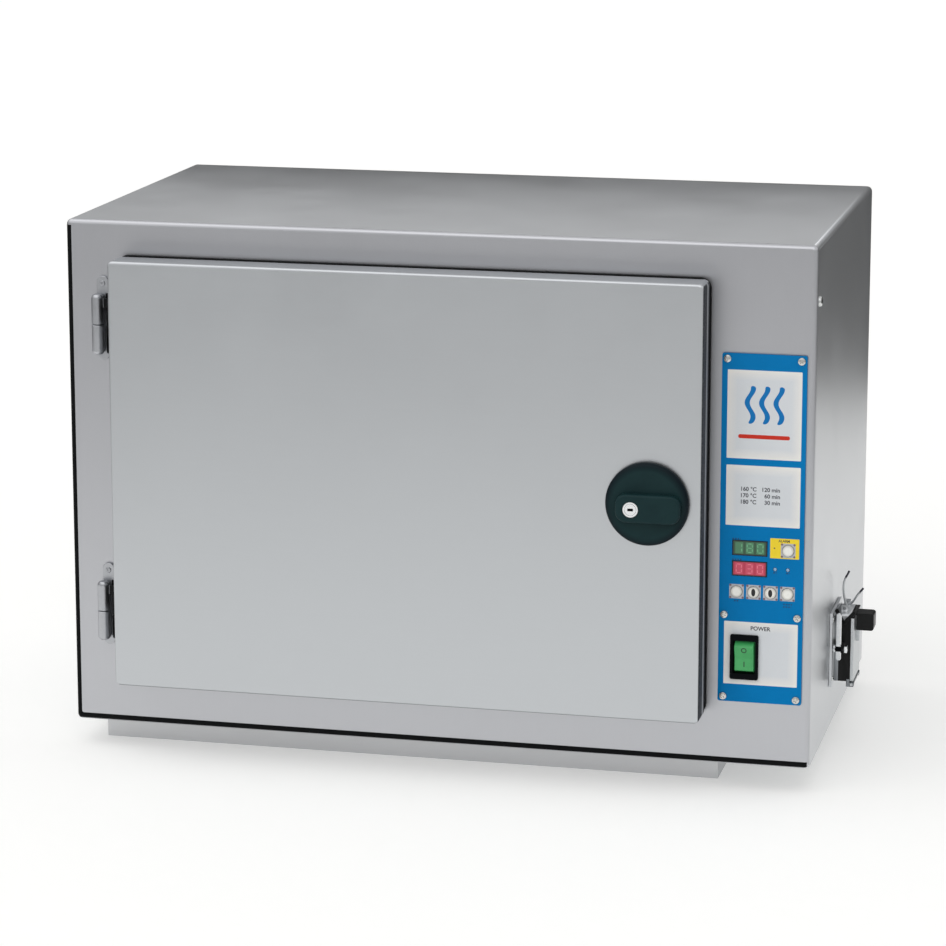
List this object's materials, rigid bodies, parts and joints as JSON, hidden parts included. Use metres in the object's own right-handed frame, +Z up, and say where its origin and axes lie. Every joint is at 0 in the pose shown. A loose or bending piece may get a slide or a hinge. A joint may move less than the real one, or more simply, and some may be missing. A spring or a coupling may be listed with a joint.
{
  "type": "dry heat sterilizer",
  "caption": "Bench-top dry heat sterilizer: stainless cabinet on a low plinth, side-hung door with a lockable round knob, instrument chamber with trays, control panel and side inlet.",
  "frame": {"origin": "under the middle of the whole object's box, on the plinth's underside", "axes": "+X to the right along the front, towards the control panel; +Y back from the door; +Z up"},
  "size_m": [0.5994, 0.3592, 0.41],
  "materials": {
    "casing_steel": "satin",
    "door_steel": "satin",
    "liner_steel": "bright satin",
    "galvanised_steel": "dull zinc",
    "bright_steel": "polished",
    "lock_chrome": "polished",
    "heater_sheath": "heat-darkened",
    "mineral_wool": "fibrous",
    "grey_plastic": "matte",
    "black_plastic": "matte",
    "knob_plastic": "satin",
    "blue_panel": "printed film, satin",
    "green_display": "glossy",
    "red_display": "glossy",
    "white_key": "satin",
    "green_rocker": "translucent gloss",
    "circuit_board": "lacquered",
    "laminated_core": "varnished",
    "brass": "satin",
    "silicone_rubber": "matte"
  },
  "bodies": {
    "cabinet": {"outer_wrap": "casing_steel", "front_fascia": "casing_steel", "rear_panel": "galvanised_steel", "base_pan": "galvanised_steel", "plinth": "casing_steel", "side_screw": "bright_steel", "chamber_liner": "liner_steel", "chamber_insulation": "mineral_wool", "divider_wall": "galvanised_steel", "heater_lower": "heater_sheath", "heater_upper": "heater_sheath", "temperature_probe": "bright_steel", "safety_thermostat": "grey_plastic", "vent_tube": "liner_steel", "shelf_rail_left": "liner_steel", "shelf_rail_right": "liner_steel", "tray_lower": "liner_steel", "tray_upper": "liner_steel", "latch_keeper": "galvanised_steel", "control_plate": "blue_panel", "control_screw_1": "bright_steel", "control_screw_2": "bright_steel", "control_screw_3": "bright_steel", "control_screw_4": "bright_steel", "control_screw_5": "bright_steel", "control_screw_6": "bright_steel", "display_green": "green_display", "display_red": "red_display", "rocker_bezel": "black_plastic", "control_board": "circuit_board", "transformer": "laminated_core", "heater_relay": "black_plastic", "terminal_block": "grey_plastic", "inlet_housing": "black_plastic", "inlet_contacts": "brass", "inlet_lever_pin": "bright_steel", "hinge_leaf_frame_upper": "bright_steel", "hinge_leaf_frame_lower": "bright_steel", "hinge_pin_upper": "bright_steel", "hinge_pin_lower": "bright_steel"},
    "door": {"door_outer_pan": "door_steel", "door_inner_panel": "liner_steel", "door_insulation": "mineral_wool", "door_gasket": "silicone_rubber", "hinge_leaf_door_upper": "bright_steel", "hinge_leaf_door_lower": "bright_steel", "handle_rosette": "black_plastic"},
    "handle": {"handle_knob": "knob_plastic", "handle_spindle": "bright_steel", "latch_cam": "bright_steel"},
    "lock": {"lock_cylinder": "lock_chrome"},
    "rocker": {"power_rocker": "green_rocker"},
    "alarm_key": {"alarm_button": "white_key"},
    "program_key": {"program_button": "white_key"},
    "down_key": {"down_button": "white_key"},
    "up_key": {"up_button": "white_key"},
    "start_key": {"start_button": "white_key"},
    "inlet_cover": {"inlet_lid": "black_plastic"},
    "inlet_clamp": {"inlet_lever": "bright_steel"},
    "inlet_wire": {"inlet_bail": "bright_steel"}
  },
  "joints": [
    {"name": "door_swing", "type": "hinge", "parent": "cabinet", "child": "door", "pos_m": [-0.27315, -0.1438, 0.22], "axis": [0, 0, -1], "range_deg": [0, 130]},
    {"name": "handle_turn", "type": "hinge", "parent": "door", "child": "handle", "pos_m": [0.15185, -0.16645, 0.222], "axis": [0, 1, 0], "range_deg": [0, 90]},
    {"name": "key_turn", "type": "hinge", "parent": "handle", "child": "lock", "pos_m": [0.14135, -0.1755, 0.2194], "axis": [0, 1, 0], "range_deg": [0, 90]},
    {"name": "rocker_tilt", "type": "hinge", "parent": "cabinet", "child": "rocker", "pos_m": [0.21985, -0.13275, 0.1035], "axis": [-1, 0, 0], "range_deg": [0, 18]},
    {"name": "alarm_press", "type": "slide", "parent": "cabinet", "child": "alarm_key", "axis": [0, 1, 0], "range_m": [0, 0.0008], "stiffness_N_per_m": 600, "springref_m": -0.0008},
    {"name": "program_press", "type": "slide", "parent": "cabinet", "child": "program_key", "axis": [0, 1, 0], "range_m": [0, 0.0008], "stiffness_N_per_m": 600, "springref_m": -0.0008},
    {"name": "down_press", "type": "slide", "parent": "cabinet", "child": "down_key", "axis": [0, 1, 0], "range_m": [0, 0.0008], "stiffness_N_per_m": 600, "springref_m": -0.0008},
    {"name": "up_press", "type": "slide", "parent": "cabinet", "child": "up_key", "axis": [0, 1, 0], "range_m": [0, 0.0008], "stiffness_N_per_m": 600, "springref_m": -0.0008},
    {"name": "start_press", "type": "slide", "parent": "cabinet", "child": "start_key", "axis": [0, 1, 0], "range_m": [0, 0.0008], "stiffness_N_per_m": 600, "springref_m": -0.0008},
    {"name": "inlet_lid_open", "type": "hinge", "parent": "cabinet", "child": "inlet_cover", "pos_m": [0.2849, -0.00545, 0.0543], "axis": [0, 1, 0], "range_deg": [0, 100], "stiffness_Nm_per_rad": 0.01, "springref_deg": -28.65},
    {"name": "inlet_lever_turn", "type": "hinge", "parent": "cabinet", "child": "inlet_clamp", "pos_m": [0.27595, -0.03405, 0.085], "axis": [1, 0, 0], "range_deg": [0, 80]},
    {"name": "inlet_bail_swing", "type": "hinge", "parent": "cabinet", "child": "inlet_wire", "pos_m": [0.27735, -0.00545, 0.112], "axis": [0, 1, 0], "range_deg": [0, 25]}
  ]
}
